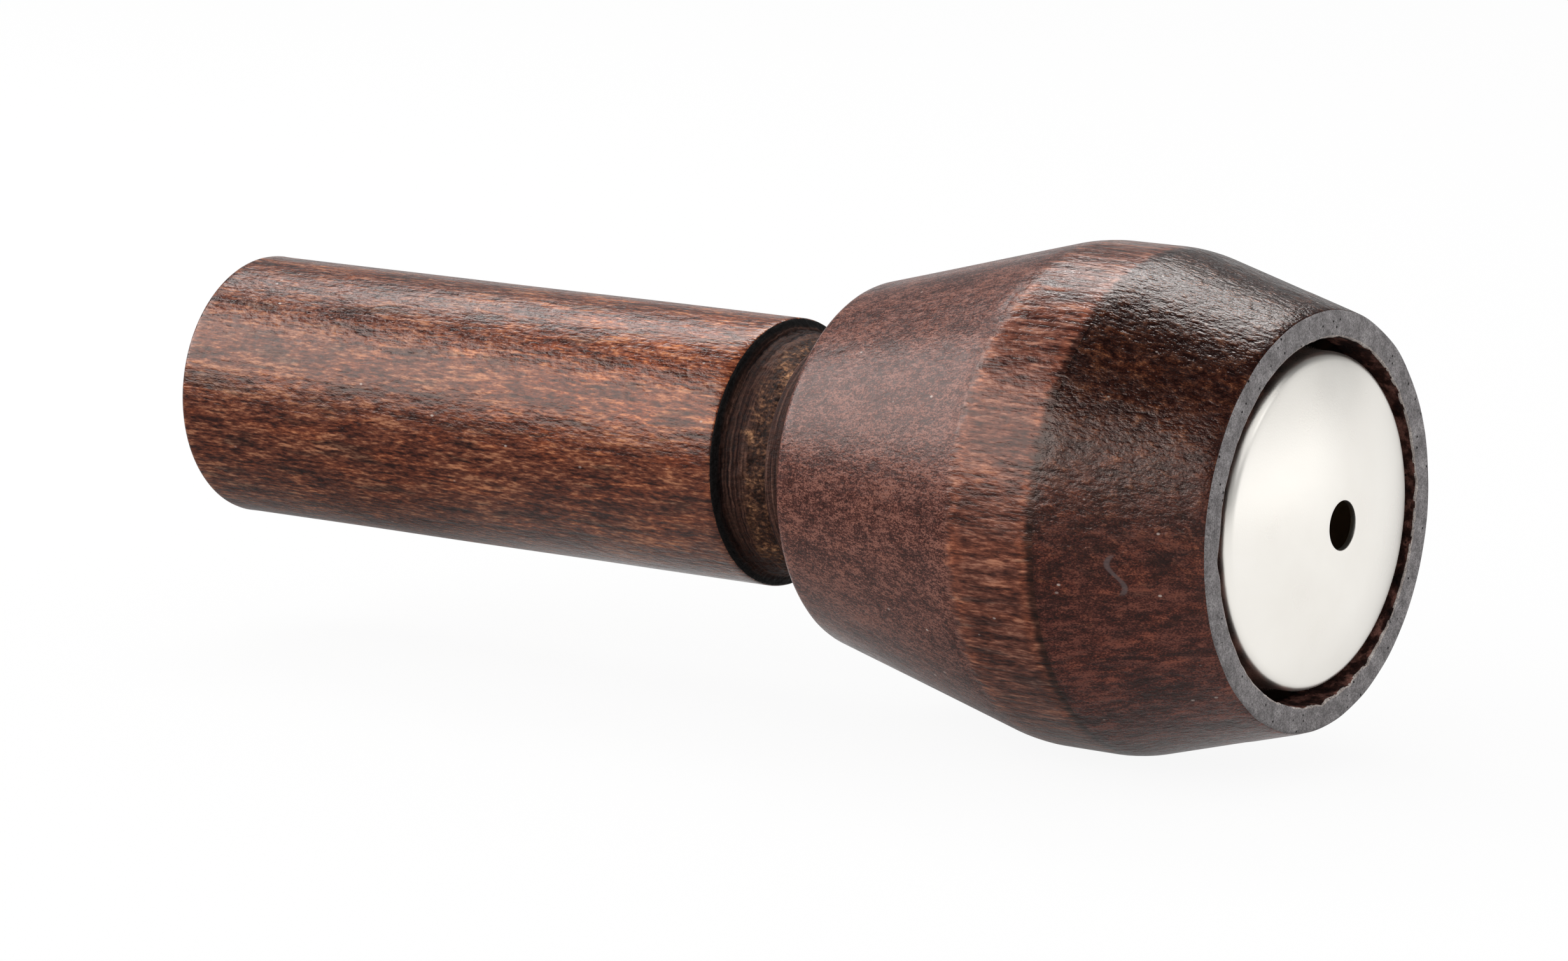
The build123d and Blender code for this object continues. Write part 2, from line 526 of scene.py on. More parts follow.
def make_stem_wood():
    """The stem's red-brown stain, streaked along the grain, with painted light that makes it warmer and
    lighter above, near the groove.
    """
    material, tree, shader, place = new_material("stem_wood")
    grain = use_group(tree, GRAIN, place)
    colour = stained_colour(tree, grain, STEM_STOPS, STEM_TONES, STEM_TINTS)
    x, _, z = axes_of(tree, place)
    painted_light = calculate(tree, "MULTIPLY", spread_mm(tree, x, *PAINTED_LIGHT_XS), spread_mm(tree, z, *PAINTED_LIGHT_ZS))
    # Painted light: warmer and lighter on the upper side near the groove
    colour = tinted(tree, painted_light, 1.0, colour, PAINTED_LIGHT_TINT)
    inputs = {
        "Base Color": dusted(tree, grain, colour),
        "Roughness": varnish_roughness(tree, grain, 0.12, 0.22),
        "Specular IOR Level": 0.27,
        "Specular Tint": VARNISH_SHEEN,
        "Normal": bump(tree, mixed_tones(tree, grain, STEM_RELIEF), VARNISH_DEPTH),
    }
    set_inputs(tree, shader, inputs)
    return material


# Barrel stain: one for the rear cone, one for the band
BARREL_SEED = (0.031, 0.017, 0.009)
REAR_STOPS = [
    (0.44, (0.034, 0.012, 0.010)),
    (0.50, (0.098, 0.033, 0.026)),
    (0.56, (0.250, 0.106, 0.078)),
]
REAR_TONES = {"Cloud": 0.15, "Lump": 0.15, "Fleck": 0.3, "Fine": 0.4}
REAR_TINTS = (0.1, 0.2, 0.2)
REAR_RELIEF = {"Streak": 0.1, "Lump": 0.25, "Pebble": 0.25, "Fleck": 0.12, "Line": -0.05}
REAR_DULLNESS = 0.04
BAND_STOPS = [
    (0.40, (0.026, 0.008, 0.007)),
    (0.47, (0.088, 0.027, 0.018)),
    (0.53, (0.176, 0.060, 0.039)),
    (0.61, (0.380, 0.170, 0.110)),
]
BAND_TONES = {"Cloud": 0.15, "Streak": 0.45, "Fleck": 0.4}
BAND_TINTS = (0.3, 0.7, 0.6)
BAND_RELIEF = {"Streak": 0.4, "Lump": 0.7, "Pebble": 0.4, "Fleck": 0.06, "Line": -0.08}

# The band's edges along X, in millimetres: how far they wander, where the band's stain sets in, the
# worn orange lines with their reach, and the scorch before the front cone
BAND_WANDER = 0.9
BAND_SETS_IN = (BAND_REAR_X - 0.5, BAND_REAR_X + 0.3)
WORN_LINES = [(BAND_REAR_X + 0.5, 0.7), (BAND_FRONT_X - 0.5, 0.6)]
WORN_SHARE = 0.35
BAND_SCORCH = (BAND_FRONT_X - 0.5, BAND_FRONT_X)
BAND_SCORCH_SHARE = 0.9


def make_barrel_wood(name, shine):
    """The stain of the rear cone, which is even and dull, and of the streaked band before it."""
    material, tree, shader, place = new_material(name)
    grain = use_group(tree, GRAIN, stretched(tree, place, 1.0, BARREL_SEED))
    x = wandering(tree, axes_of(tree, place)[0], grain["Lump"], BAND_WANDER)
    in_band = spread_mm(tree, x, *BAND_SETS_IN)
    rear = stained_colour(tree, grain, REAR_STOPS, REAR_TONES, REAR_TINTS)
    band = stained_colour(tree, grain, BAND_STOPS, BAND_TONES, BAND_TINTS)
    colour = blend_colour(tree, in_band, rear, band)
    for line_x, reach in WORN_LINES:
        worn = spread_mm(tree, off_middle(tree, x, line_x), reach, 0.0)
        colour = tinted(tree, worn, WORN_SHARE, colour, ORANGE_TINT)
    colour = tinted(tree, spread_mm(tree, x, *BAND_SCORCH), BAND_SCORCH_SHARE, colour, SCORCH_TINT)
    rear_relief = mixed_tones(tree, grain, REAR_RELIEF)
    band_relief = mixed_tones(tree, grain, BAND_RELIEF)
    relief = node(tree, "ShaderNodeMix", {0: in_band, 2: rear_relief, 3: band_relief}).outputs[0]
    dullness = spread(tree, in_band, 0.0, 1.0, REAR_DULLNESS, 0.0)
    inputs = {
        "Base Color": dusted(tree, grain, colour),
        "Roughness": calculate(tree, "ADD", varnish_roughness(tree, grain, 0.14, 0.25), dullness),
        "Specular IOR Level": shine,
        "Specular Tint": VARNISH_SHEEN,
        "Normal": bump(tree, relief, VARNISH_DEPTH),
    }
    set_inputs(tree, shader, inputs)
    return material


# The scuff on the front cone, in millimetres. Its X sways like a cosine of Z about a middle line,
# and each pair gives where its width or length ends and where it is full
SCUFF_X = 76.96
SCUFF_Z = -1.55
SCUFF_CREST_Z = -0.9
SCUFF_HALF_WAVE = 1.4
SCUFF_SWAY = 0.51
SCUFF_WIDTH = (0.24, 0.10)
SCUFF_LENGTH = (1.30, 1.05)
SCUFF_SHARE = 0.75
SCUFF_COLOUR = (0.115, 0.085, 0.085, 1.0)


def scuff_mask(tree, axes):
    """A short S-shaped scuff on the near side of the front cone."""
    x, y, z = axes
    past_crest = calculate(tree, "SUBTRACT", z, SCUFF_CREST_Z * MM)
    turn = calculate(tree, "MULTIPLY", past_crest, pi / (SCUFF_HALF_WAVE * MM))
    sway = calculate(tree, "MULTIPLY", calculate(tree, "COSINE", turn), SCUFF_SWAY * MM)
    off_line = off_middle(tree, calculate(tree, "ADD", x, sway), SCUFF_X)
    mask = spread_mm(tree, off_line, *SCUFF_WIDTH)
    mask = calculate(tree, "MULTIPLY", mask, spread_mm(tree, off_middle(tree, z, SCUFF_Z), *SCUFF_LENGTH))
    return calculate(tree, "MULTIPLY", mask, calculate(tree, "LESS_THAN", y, 0.0))


# Front cone stain with painted shading: it goes from its darker upper stops, painted shade, to its
# lighter and redder lower stops, painted light, down Z, in millimetres
SHADED_UPPER_STOPS = [
    (0.42, (0.007, 0.002, 0.002)),
    (0.50, (0.021, 0.006, 0.004)),
    (0.56, (0.062, 0.020, 0.010)),
    (0.66, (0.215, 0.090, 0.042)),
]
UPPER_TONES = {"Lump": 0.25, "Pebble": 0.3, "Fleck": 0.2, "Fine": 0.25}
UPPER_TINTS = (0.4, 0.2, 0.2)
LIT_LOWER_STOPS = [
    (0.44, (0.022, 0.006, 0.006)),
    (0.50, (0.084, 0.020, 0.016)),
    (0.56, (0.250, 0.080, 0.056)),
]
LOWER_TONES = {"Cloud": 0.2, "Lump": 0.15, "Streak": 0.2, "Fleck": 0.15, "Fine": 0.3}
LOWER_TINTS = (0.4, 0.5, 0.3)
PAINTED_SHADING_ZS = (12.0, -13.0)
FRONT_RELIEF = {"Streak": 0.1, "Lump": 0.9, "Pebble": 0.6, "Fleck": 0.06, "Line": -0.04}
FRONT_SCORCH = (BAND_FRONT_X + 0.6, BAND_FRONT_X + 0.1)
FRONT_SCORCH_SHARE = 0.6


def make_front_cone_wood():
    """The front cone's thick dark varnish over pebbled wood, painted nearly black above as shade and
    redder and lighter below as light.
    """
    material, tree, shader, place = new_material("front_cone_wood")
    grain = use_group(tree, GRAIN, stretched(tree, place, 1.0, BARREL_SEED))
    axes = axes_of(tree, place)
    upper = stained_colour(tree, grain, SHADED_UPPER_STOPS, UPPER_TONES, UPPER_TINTS)
    lower = stained_colour(tree, grain, LIT_LOWER_STOPS, LOWER_TONES, LOWER_TINTS)
    # Painted shading: darker above as shade, lighter and redder below as light
    colour = blend_colour(tree, spread_mm(tree, axes[2], *PAINTED_SHADING_ZS), upper, lower)
    scorched = spread_mm(tree, axes[0], *FRONT_SCORCH)
    colour = tinted(tree, scorched, FRONT_SCORCH_SHARE, colour, SCORCH_TINT)
    scuff = calculate(tree, "MULTIPLY", scuff_mask(tree, axes), SCUFF_SHARE)
    colour = blend_colour(tree, scuff, colour, SCUFF_COLOUR)
    inputs = {
        "Base Color": dusted(tree, grain, colour),
        "Roughness": varnish_roughness(tree, grain, 0.14, 0.26),
        "Specular IOR Level": 0.28,
        "Specular Tint": VARNISH_SHEEN,
        "Normal": bump(tree, mixed_tones(tree, grain, FRONT_RELIEF), VARNISH_DEPTH),
    }
    set_inputs(tree, shader, inputs)
    return material


# Groove colours, and where they begin and end along X, in millimetres
GOLDEN_STOPS = [
    (0.38, (0.014, 0.006, 0.004)),
    (0.48, (0.052, 0.022, 0.014)),
    (0.56, (0.160, 0.074, 0.040)),
    (0.66, (0.450, 0.235, 0.120)),
]
GOLDEN_TONES = {"Mottle": 0.55, "Crumb": 0.45}
LINED_STOPS = [
    (0.35, (0.012, 0.004, 0.004)),
    (0.52, (0.056, 0.023, 0.016)),
    (0.70, (0.160, 0.080, 0.058)),
]
GOLDEN_RAGGED = 1.6
GOLDEN_XS = (44.6, 45.8)
# Painted shade over the neck beside the lip: where it is deepest and where it ends along X, and how dark
# it is at the deepest
SHADE_XS = (43.6, 45.2)
DEEPEST_SHADE = 0.50
COLLAR_XS = (JOINT_X - 0.03, JOINT_X + 0.03)
# The lip painted black as shade: where it begins and where it is full along X
LIP_PAINTED_SHADE_XS = (LIP_X - 0.10, LIP_X - 0.30)
LIP_PAINTED_SHADE = (0.010, 0.009, 0.009, 1.0)


def make_groove_wood():
    """The groove: a lip painted black as shade, a ragged golden neck with painted shade beside the lip,
    and a dark collar with turning lines.
    """
    material, tree, shader, place = new_material("groove_wood")
    torn = use_group(tree, TORN, stretched(tree, place, 0.7))
    x = axes_of(tree, place)[0]
    ragged_x = wandering(tree, x, torn["Mottle"], GOLDEN_RAGGED)
    lines = grain_noise(tree, stretched(tree, place, 40.0), 180.0, 2.0)
    golden = ramp(tree, mixed_tones(tree, torn, GOLDEN_TONES), GOLDEN_STOPS)
    lined = ramp(tree, lines, LINED_STOPS)
    colour = blend_colour(tree, spread_mm(tree, ragged_x, *GOLDEN_XS), lined, golden)
    # Painted shade on the neck beside the lip
    colour = shaded(tree, colour, spread_mm(tree, ragged_x, *SHADE_XS, DEEPEST_SHADE, 1.0))
    colour = blend_colour(tree, spread_mm(tree, x, *COLLAR_XS), colour, lined)
    # The lip painted black as shade
    colour = blend_colour(tree, spread_mm(tree, x, *LIP_PAINTED_SHADE_XS), colour, LIP_PAINTED_SHADE)
    colour = shaded(tree, colour, spread(tree, torn["Crumb"], *NOISE_RANGE, 0.55, 1.35))
    relief = weighted(tree, [(torn["Crumb"], 1.0), (lines, 0.6)])
    inputs = {
        "Base Color": colour,
        "Roughness": spread(tree, torn["Crumb"], *NOISE_RANGE, 0.45, 0.75),
        "Specular IOR Level": 0.07,
        "Normal": bump(tree, relief, 0.12),
    }
    set_inputs(tree, shader, inputs)
    return material


def make_end_grain(name, stops, hole_colour):
    """Bare wood with open pores, as on end grain and in bores."""
    material, tree, shader, place = new_material(name)
    torn = use_group(tree, TORN, place)
    gritty = mixed_tones(tree, torn, {"Crumb": 0.4, "Grit": 0.6})
    tone = shaded(tree, ramp(tree, torn["Mottle"], stops), spread(tree, gritty, 0.36, 0.64, 0.6, 1.35))
    inputs = {
        "Base Color": blend_colour(tree, torn["Hole"], tone, (*hole_colour, 1.0)),
        "Roughness": spread(tree, torn["Crumb"], *NOISE_RANGE, 0.55, 0.8),
        "Specular IOR Level": 0.12,
        "Normal": bump(tree, mixed_tones(tree, torn, {"Crumb": 1.0, "Hole": -1.5}), 0.10),
    }
    set_inputs(tree, shader, inputs)
    return material


# The dish's edge painted dark as a dark reflection: how far its grain shifts it, and the radii where it
# begins and is full, in millimetres
PAINTED_REFLECTION_GRAIN = 0.4
PAINTED_REFLECTION_RADII = (10.38, 10.60)
PAINTED_REFLECTION_COLOUR = (0.12, 0.10, 0.08, 1.0)
NICKEL_STOPS = [(0.3, (0.90, 0.868, 0.810)), (0.7, (0.95, 0.923, 0.870))]


def make_capsule_metal():
    """Satin nickel: a fine even blast, faint smears, and a dark edge where it bends down, painted as a
    dark reflection.
    """
    material, tree, shader, place = new_material("capsule_metal")
    blast = grain_noise(tree, place, 9000.0, 2.0)
    smear = grain_noise(tree, place, 180.0, 3.0)
    _, y, z = axes_of(tree, place)
    squares = [calculate(tree, "MULTIPLY", axis, axis) for axis in (y, z)]
    radius = calculate(tree, "SQRT", calculate(tree, "ADD", *squares))
    grainy = weighted(tree, [(blast, PAINTED_REFLECTION_GRAIN * MM), (radius, 1.0)])
    # Painted dark reflection at the edge where the dish bends down
    dull = spread_mm(tree, grainy, *PAINTED_REFLECTION_RADII)
    inputs = {
        "Base Color": blend_colour(tree, dull, ramp(tree, smear, NICKEL_STOPS), PAINTED_REFLECTION_COLOUR),
        "Metallic": 1.0,
        "Roughness": spread(tree, smear, *NOISE_RANGE, 0.26, 0.34),
        "Normal": bump(tree, blast, 0.004),
    }
    set_inputs(tree, shader, inputs)
    return material


# Colours of the inner pieces
BRASS_STOPS = [(0.3, (0.500, 0.380, 0.270)), (0.7, (0.660, 0.520, 0.380))]
RUBBER_STOPS = [(0.3, (0.010, 0.010, 0.011)), (0.7, (0.026, 0.026, 0.027))]
LEATHER_STOPS = [(0.3, (0.16, 0.08, 0.035)), (0.7, (0.34, 0.19, 0.09))]


def make_bare_metal():
    """Unplated brass, dull from breath, inside the capsule."""
    material, tree, shader, place = new_material("capsule_inside")
    tarnish = grain_noise(tree, place, 400.0, 4.0)
    inputs = {
        "Base Color": ramp(tree, tarnish, BRASS_STOPS),
        "Metallic": 1.0,
        "Roughness": spread(tree, tarnish, *NOISE_RANGE, 0.45, 0.65),
        "Normal": bump(tree, tarnish, 0.01),
    }
    set_inputs(tree, shader, inputs)
    return material


def make_seal_rubber():
    """Black greased rubber."""
    material, tree, shader, place = new_material("seal_rubber")
    grease = grain_noise(tree, place, 900.0, 3.0)
    inputs = {
        "Base Color": ramp(tree, grease, RUBBER_STOPS),
        "Roughness": spread(tree, grease, *NOISE_RANGE, 0.28, 0.55),
        "Normal": bump(tree, grease, 0.02),
    }
    set_inputs(tree, shader, inputs)
    return material


def make_washer_leather():
    """Plain tan leather."""
    material, tree, shader, place = new_material("washer_leather")
    torn = use_group(tree, TORN, place)
    inputs = {
        "Base Color": ramp(tree, torn["Mottle"], LEATHER_STOPS),
        "Roughness": spread(tree, torn["Crumb"], *NOISE_RANGE, 0.6, 0.85),
        "Normal": bump(tree, torn["Crumb"], 0.05),
    }
    set_inputs(tree, shader, inputs)
    return material


RIM_STOPS = [
    (0.32, (0.172, 0.160, 0.161)),
    (0.50, (0.250, 0.234, 0.236)),
    (0.68, (0.335, 0.315, 0.316)),
]
MOUTH_STOPS = [
    (0.30, (0.030, 0.013, 0.009)),
    (0.50, (0.075, 0.032, 0.021)),
    (0.70, (0.130, 0.060, 0.036)),
]
BORE_STOPS = [
    (0.36, (0.007, 0.003, 0.003)),
    (0.50, (0.038, 0.014, 0.011)),
    (0.64, (0.220, 0.098, 0.078)),
]
AIRWAY_STOPS = [
    (0.30, (0.010, 0.005, 0.004)),
    (0.50, (0.026, 0.012, 0.008)),
    (0.70, (0.050, 0.024, 0.015)),
]
TENON_STOPS = [
    (0.30, (0.150, 0.072, 0.034)),
    (0.50, (0.270, 0.142, 0.074)),
    (0.70, (0.380, 0.225, 0.125)),
]
# The rim's inner bevel: pale torn burr and a painted highlight
BURR_AND_HIGHLIGHT_STOPS = [
    (0.30, (0.280, 0.240, 0.225)),
    (0.50, (0.430, 0.380, 0.355)),
    (0.70, (0.580, 0.530, 0.500)),
]

STEM_WOOD = make_stem_wood()
REAR_CONE_WOOD = make_barrel_wood("rear_cone_wood", 0.17)
BAND_WOOD = make_barrel_wood("band_wood", 0.24)
FRONT_CONE_WOOD = make_front_cone_wood()
GROOVE_WOOD = make_groove_wood()
RIM_GRAIN = make_end_grain("rim_end_grain", RIM_STOPS, (0.012, 0.009, 0.009))
MOUTH_GRAIN = make_end_grain("mouth_end_grain", MOUTH_STOPS, (0.010, 0.006, 0.005))
BORE_WOOD = make_end_grain("bore_wood", BORE_STOPS, (0.004, 0.002, 0.002))
AIRWAY_WOOD = make_end_grain("airway_wood", AIRWAY_STOPS, (0.006, 0.003, 0.003))
TENON_WOOD = make_end_grain("tenon_wood", TENON_STOPS, (0.05, 0.026, 0.012))
BURR_AND_HIGHLIGHT_WOOD = make_end_grain("rim_burr_and_highlight", BURR_AND_HIGHLIGHT_STOPS, (0.20, 0.16, 0.14))
CAPSULE_METAL = make_capsule_metal()


# Turned wood

# Unevenness of the wood: depth, grain across X and grain along X in millimetres, and a seed
STEM_WAVE = (0.02, 4.0, 12.0, 5.0)
BARREL_WAVE = (0.02, 4.0, 9.0, 8.0)
GROOVE_TEAR = (0.10, 0.35, 0.35, 3.0)
GROOVE_WAVE = (0.06, 0.8, 0.8, 7.0)
SEAT_TEAR = (0.08, 0.5, 0.5, 11.0)
RIM_PITS = (1.0, 0.7, 0.7, 2.0)

# How far waves and tears are sunk into the turned shape, in millimetres
WAVE_SINK = 0.02
TEAR_SINK = 0.08

# Lengths along X, in millimetres, over which the groove's tear sets in and dies out at the joint
TEAR_LEAD = 0.1
TEAR_RISE = 0.3
TEAR_FALL = 0.4

# Bounds of the stem's faces and of its uneven part, in millimetres from the sizes that they lie by
TRUE_MOUTH_LENGTH = 0.5
AIRWAY_MARGIN = 0.4
MOUTH_FACE_DEPTH = 0.2
MOUTH_FACE_INSET = 0.3
NECK_MARGIN = 0.1
SEAM = 0.02


def make_stem():
    """Stem, neck and tenon in one turned piece, ragged in the groove."""
    outline = [
        (0.0, AIRWAY_RADIUS),
        (0.0, STEM_RADIUS),
        (STEM_FRONT_X, STEM_RADIUS),
        (LIP_X, LIP_RADIUS),
        (NECK_X, NECK_END_RADIUS),
        (NECK_X, TENON_RADIUS),
    ]
    for ring_x in RING_XS:
        outline += [
            (ring_x - RING_GROOVE_HALF, TENON_RADIUS),
            (ring_x - RING_GROOVE_HALF, RING_FLOOR_RADIUS),
            (ring_x + RING_GROOVE_HALF, RING_FLOOR_RADIUS),
            (ring_x + RING_GROOVE_HALF, TENON_RADIUS),
        ]
    outline += [
        (TENON_END_X - TENON_LEAD, TENON_RADIUS),
        (TENON_END_X, TENON_RADIUS - TENON_LEAD),
        (TENON_END_X, AIRWAY_RADIUS),
    ]
    rounds = [
        (0.0, STEM_RADIUS, MOUTH_ROUND, 4),
        (0.0, AIRWAY_RADIUS, AIRWAY_ROUND, 3),
        (STEM_FRONT_X, STEM_RADIUS, CUT_ROUND, 2),
        (LIP_X, LIP_RADIUS, CUT_ROUND, 2),
    ]
    runs = [
        (0.0, 0.0, AIRWAY_RADIUS, STEM_RADIUS, PLAIN_STEP),
        (0.0, STEM_FRONT_X, STEM_RADIUS, STEM_RADIUS, PLAIN_STEP),
        (STEM_FRONT_X, NECK_X, NECK_END_RADIUS, STEM_RADIUS, GROOVE_STEP),
    ]
    bm = turned(outline, rounds, runs, WOOD_SPIN_STEPS)
    for vert in bm.verts:
        x = vert.co.x / MM
        if radius_of(vert) > NECK_END_RADIUS - NECK_MARGIN and x > TRUE_MOUTH_LENGTH:
            in_groove = clamped((x - STEM_FRONT_X + TEAR_LEAD) / TEAR_RISE)
            fade = clamped((NECK_X - x) / TEAR_FALL)
            torn = rough(vert, *GROOVE_TEAR) + rough(vert, *GROOVE_WAVE) - TEAR_SINK
            wave = rough(vert, *STEM_WAVE) - WAVE_SINK
            move_radially(vert, in_groove * fade * torn + (1.0 - in_groove) * wave)

    def pick(x, radius, normal):
        if radius < AIRWAY_RADIUS + AIRWAY_MARGIN and x > AIRWAY_MARGIN:
            return AIRWAY_WOOD
        if x < MOUTH_FACE_DEPTH and radius < STEM_RADIUS - MOUTH_FACE_INSET:
            return MOUTH_GRAIN
        if x < STEM_FRONT_X + SEAM:
            return STEM_WOOD
        if x < NECK_X - SEAM / 2 and radius > TENON_RADIUS + NECK_MARGIN:
            return GROOVE_WOOD
        return TENON_WOOD

    woods = [STEM_WOOD, GROOVE_WOOD, MOUTH_GRAIN, AIRWAY_WOOD, TENON_WOOD]
    stem = finished(bm, "turned_stem", woods, pick)
    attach(stem, "stem")
    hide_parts("stem")


# The rim's inner edge: a slow wave, then notches and nicks. Each has its waves round the rim, and the
# cuts have a seed, the least noise that cuts, and a depth in millimetres
RIM_WAVES = 3.1
RIM_WAVE_DEPTH = 0.08
RIM_WAVE_INSET = 0.05
RIM_NOTCHES = (8.3, Vector((4.0, 1.0, 2.0)), 0.12, 0.55)
RIM_NICKS = (24.0, Vector((1.0, 6.0, 3.0)), 0.2, 0.25)

# How much of these cuts shows: its mean, its change round the rim, and the angle of the most
CHIPPING_MEAN = 0.6
CHIPPING_CHANGE = 0.4
CHIPPING_ANGLE = -pi / 4

# The rim's outer edge: its waves, their height along the noise, and their depth in millimetres
OUTER_WAVES = 5.0
OUTER_SEED = 3.0
OUTER_WAVE_DEPTH = 0.06
OUTER_WAVE_SINK = 0.03

# How far wear reaches from the rim's two edges, across and along X, the reach of the seat's tear and
# where it starts behind the rim, and how far the inner edge is worn down, in millimetres
INNER_REACH = (0.7, 1.3)
OUTER_REACH = (0.5, 1.0)
SEAT_TEAR_REACH = 0.4
SEAT_TEAR_START = 0.05
RIM_WEAR = 0.04

# Bounds of the barrel's faces and of its uneven parts, in millimetres from the sizes they lie by
RIM_WORK_X = SEAT_X + 0.5
OUTSIDE_MARGIN = 0.5
COLLAR_INSET = 0.3
REAR_FACE_INSET = 0.8
# Bounds of the inner bevel painted pale, as burr and as a painted highlight
BURR_HIGHLIGHT_DEPTH = 0.25
BURR_HIGHLIGHT_WIDTH = 0.8
BURR_HIGHLIGHT_NORMALS = (0.2, 0.93)
RIM_FACE_DEPTH = 0.12
RIM_FACE_NORMAL = 0.75
BORE_MARGIN = 0.45
BORE_DEPTH = 6.0
BAND_MARGIN = 0.3


def rim_cut(round_place, waves, seed, least, depth):
    """Depth of one kind of cut in the rim's inner edge, in millimetres."""
    return max(0.0, noise.noise(round_place * waves + seed) - least) * depth


def rim_chip(angle):
    """How far the rim's inner edge is chipped away at an angle, in millimetres.

    The chips are deepest at the lower right of the rim and shallow opposite.
    """
    round_place = Vector((cos(angle), sin(angle), 0.0))
    worn = CHIPPING_MEAN + CHIPPING_CHANGE * cos(angle - CHIPPING_ANGLE)
    wave = noise.noise(round_place * RIM_WAVES) * RIM_WAVE_DEPTH - RIM_WAVE_INSET
    notch = rim_cut(round_place, *RIM_NOTCHES)
    nick = rim_cut(round_place, *RIM_NICKS)
    return wave + (notch + nick) * worn


def near_rim_edge(x, radius, edge_radius, reach):
    """1 at an edge of the rim, falling to 0 at its reach across and along X."""
    across, along = reach
    return near(radius, edge_radius, across) * near(x, RIM_X, along)


def wear_rim(vert):
    """Chip, tear and sink one vertex of the rim and its bore."""
    x = vert.co.x / MM
    radius = radius_of(vert)
    angle = atan2(vert.co.z, vert.co.y)
    inner = near_rim_edge(x, radius, SEAT_RADIUS, INNER_REACH)
    outer = near_rim_edge(x, radius, RIM_RADIUS, OUTER_REACH)
    round_place = Vector((cos(angle), sin(angle), OUTER_SEED))
    uneven = noise.noise(round_place * OUTER_WAVES) * OUTER_WAVE_DEPTH - OUTER_WAVE_SINK
    move_radially(vert, inner * rim_chip(angle) + outer * uneven)
    if x < RIM_X - SEAT_TEAR_START:
        move_radially(vert, rough(vert, *SEAT_TEAR) * near(radius, SEAT_RADIUS, SEAT_TEAR_REACH))
    vert.co.x -= RIM_WEAR * inner * (1.0 + rough(vert, *RIM_PITS)) * MM


def make_barrel():
    """The barrel, with a chipped inner rim and a slightly uneven outer one."""
    outline = [
        (JOINT_X, SOCKET_RADIUS + SOCKET_LEAD),
        (JOINT_X, COLLAR_RADIUS),
        (BARREL_REAR_X, COLLAR_RADIUS),
        (BARREL_REAR_X, BARREL_REAR_RADIUS),
        (BAND_REAR_X, BAND_RADIUS),
        (BAND_FRONT_X, BAND_RADIUS),
        (RIM_X, RIM_RADIUS),
        (RIM_X, SEAT_RADIUS),
        (SEAT_X, SEAT_RADIUS),
        (SEAT_X, CHAMBER_RADIUS),
        (CHAMBER_FLOOR_X, CHAMBER_RADIUS),
        (FUNNEL_X, SOCKET_RADIUS),
        (JOINT_X + SOCKET_LEAD, SOCKET_RADIUS),
    ]
    rounds = [
        (JOINT_X, COLLAR_RADIUS, CUT_ROUND, 2),
        (BARREL_REAR_X, BARREL_REAR_RADIUS, REAR_ROUND, 5),
        (BAND_REAR_X, BAND_RADIUS, BAND_ROUND, 5),
        (BAND_FRONT_X, BAND_RADIUS, BAND_ROUND, 5),
        (RIM_X, RIM_RADIUS, RIM_ROUND, 3),
        (RIM_X, SEAT_RADIUS, CUT_ROUND, 2),
    ]
    runs = [
        (JOINT_X, BARREL_REAR_X, COLLAR_RADIUS, COLLAR_RADIUS, EDGE_STEP),
        (BARREL_REAR_X, RIM_X, BARREL_REAR_RADIUS, BAND_RADIUS, PLAIN_STEP),
        (RIM_X, RIM_X, SEAT_RADIUS, RIM_RADIUS, EDGE_STEP),
        (SEAT_X, RIM_X, SEAT_RADIUS, SEAT_RADIUS, SEAT_STEP),
    ]
    bm = turned(outline, rounds, runs, WOOD_SPIN_STEPS)
    for vert in bm.verts:
        if vert.co.x / MM > RIM_WORK_X:
            wear_rim(vert)
        elif radius_of(vert) > BARREL_REAR_RADIUS - OUTSIDE_MARGIN:
            move_radially(vert, rough(vert, *BARREL_WAVE) - WAVE_SINK)

    def pick(x, radius, normal):
        on_collar = COLLAR_RADIUS - COLLAR_INSET < radius < BARREL_REAR_RADIUS - REAR_FACE_INSET
        if x < BARREL_REAR_X + SEAM and on_collar:
            return GROOVE_WOOD
        # The inner bevel, pale as burr and as a painted highlight
        bevelled = BURR_HIGHLIGHT_NORMALS[0] < normal.x < BURR_HIGHLIGHT_NORMALS[1]
        if x > RIM_X - BURR_HIGHLIGHT_DEPTH and bevelled and radius < SEAT_RADIUS + BURR_HIGHLIGHT_WIDTH:
            return BURR_AND_HIGHLIGHT_WOOD
        if x > RIM_X - RIM_FACE_DEPTH and normal.x > RIM_FACE_NORMAL:
            return RIM_GRAIN
        in_seat = radius < SEAT_RADIUS + BORE_MARGIN and x > RIM_X - BORE_DEPTH
        if in_seat or radius < COLLAR_RADIUS - COLLAR_INSET:
            return BORE_WOOD
        if x > BAND_FRONT_X:
            return FRONT_CONE_WOOD
        return BAND_WOOD if x > BAND_REAR_X - BAND_MARGIN else REAR_CONE_WOOD

    woods = [REAR_CONE_WOOD, GROOVE_WOOD, RIM_GRAIN, BORE_WOOD, FRONT_CONE_WOOD, BURR_AND_HIGHLIGHT_WOOD, BAND_WOOD]
    barrel = finished(bm, "turned_barrel", woods, pick)
    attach(barrel, "barrel")
    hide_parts("barrel")


# Capsule


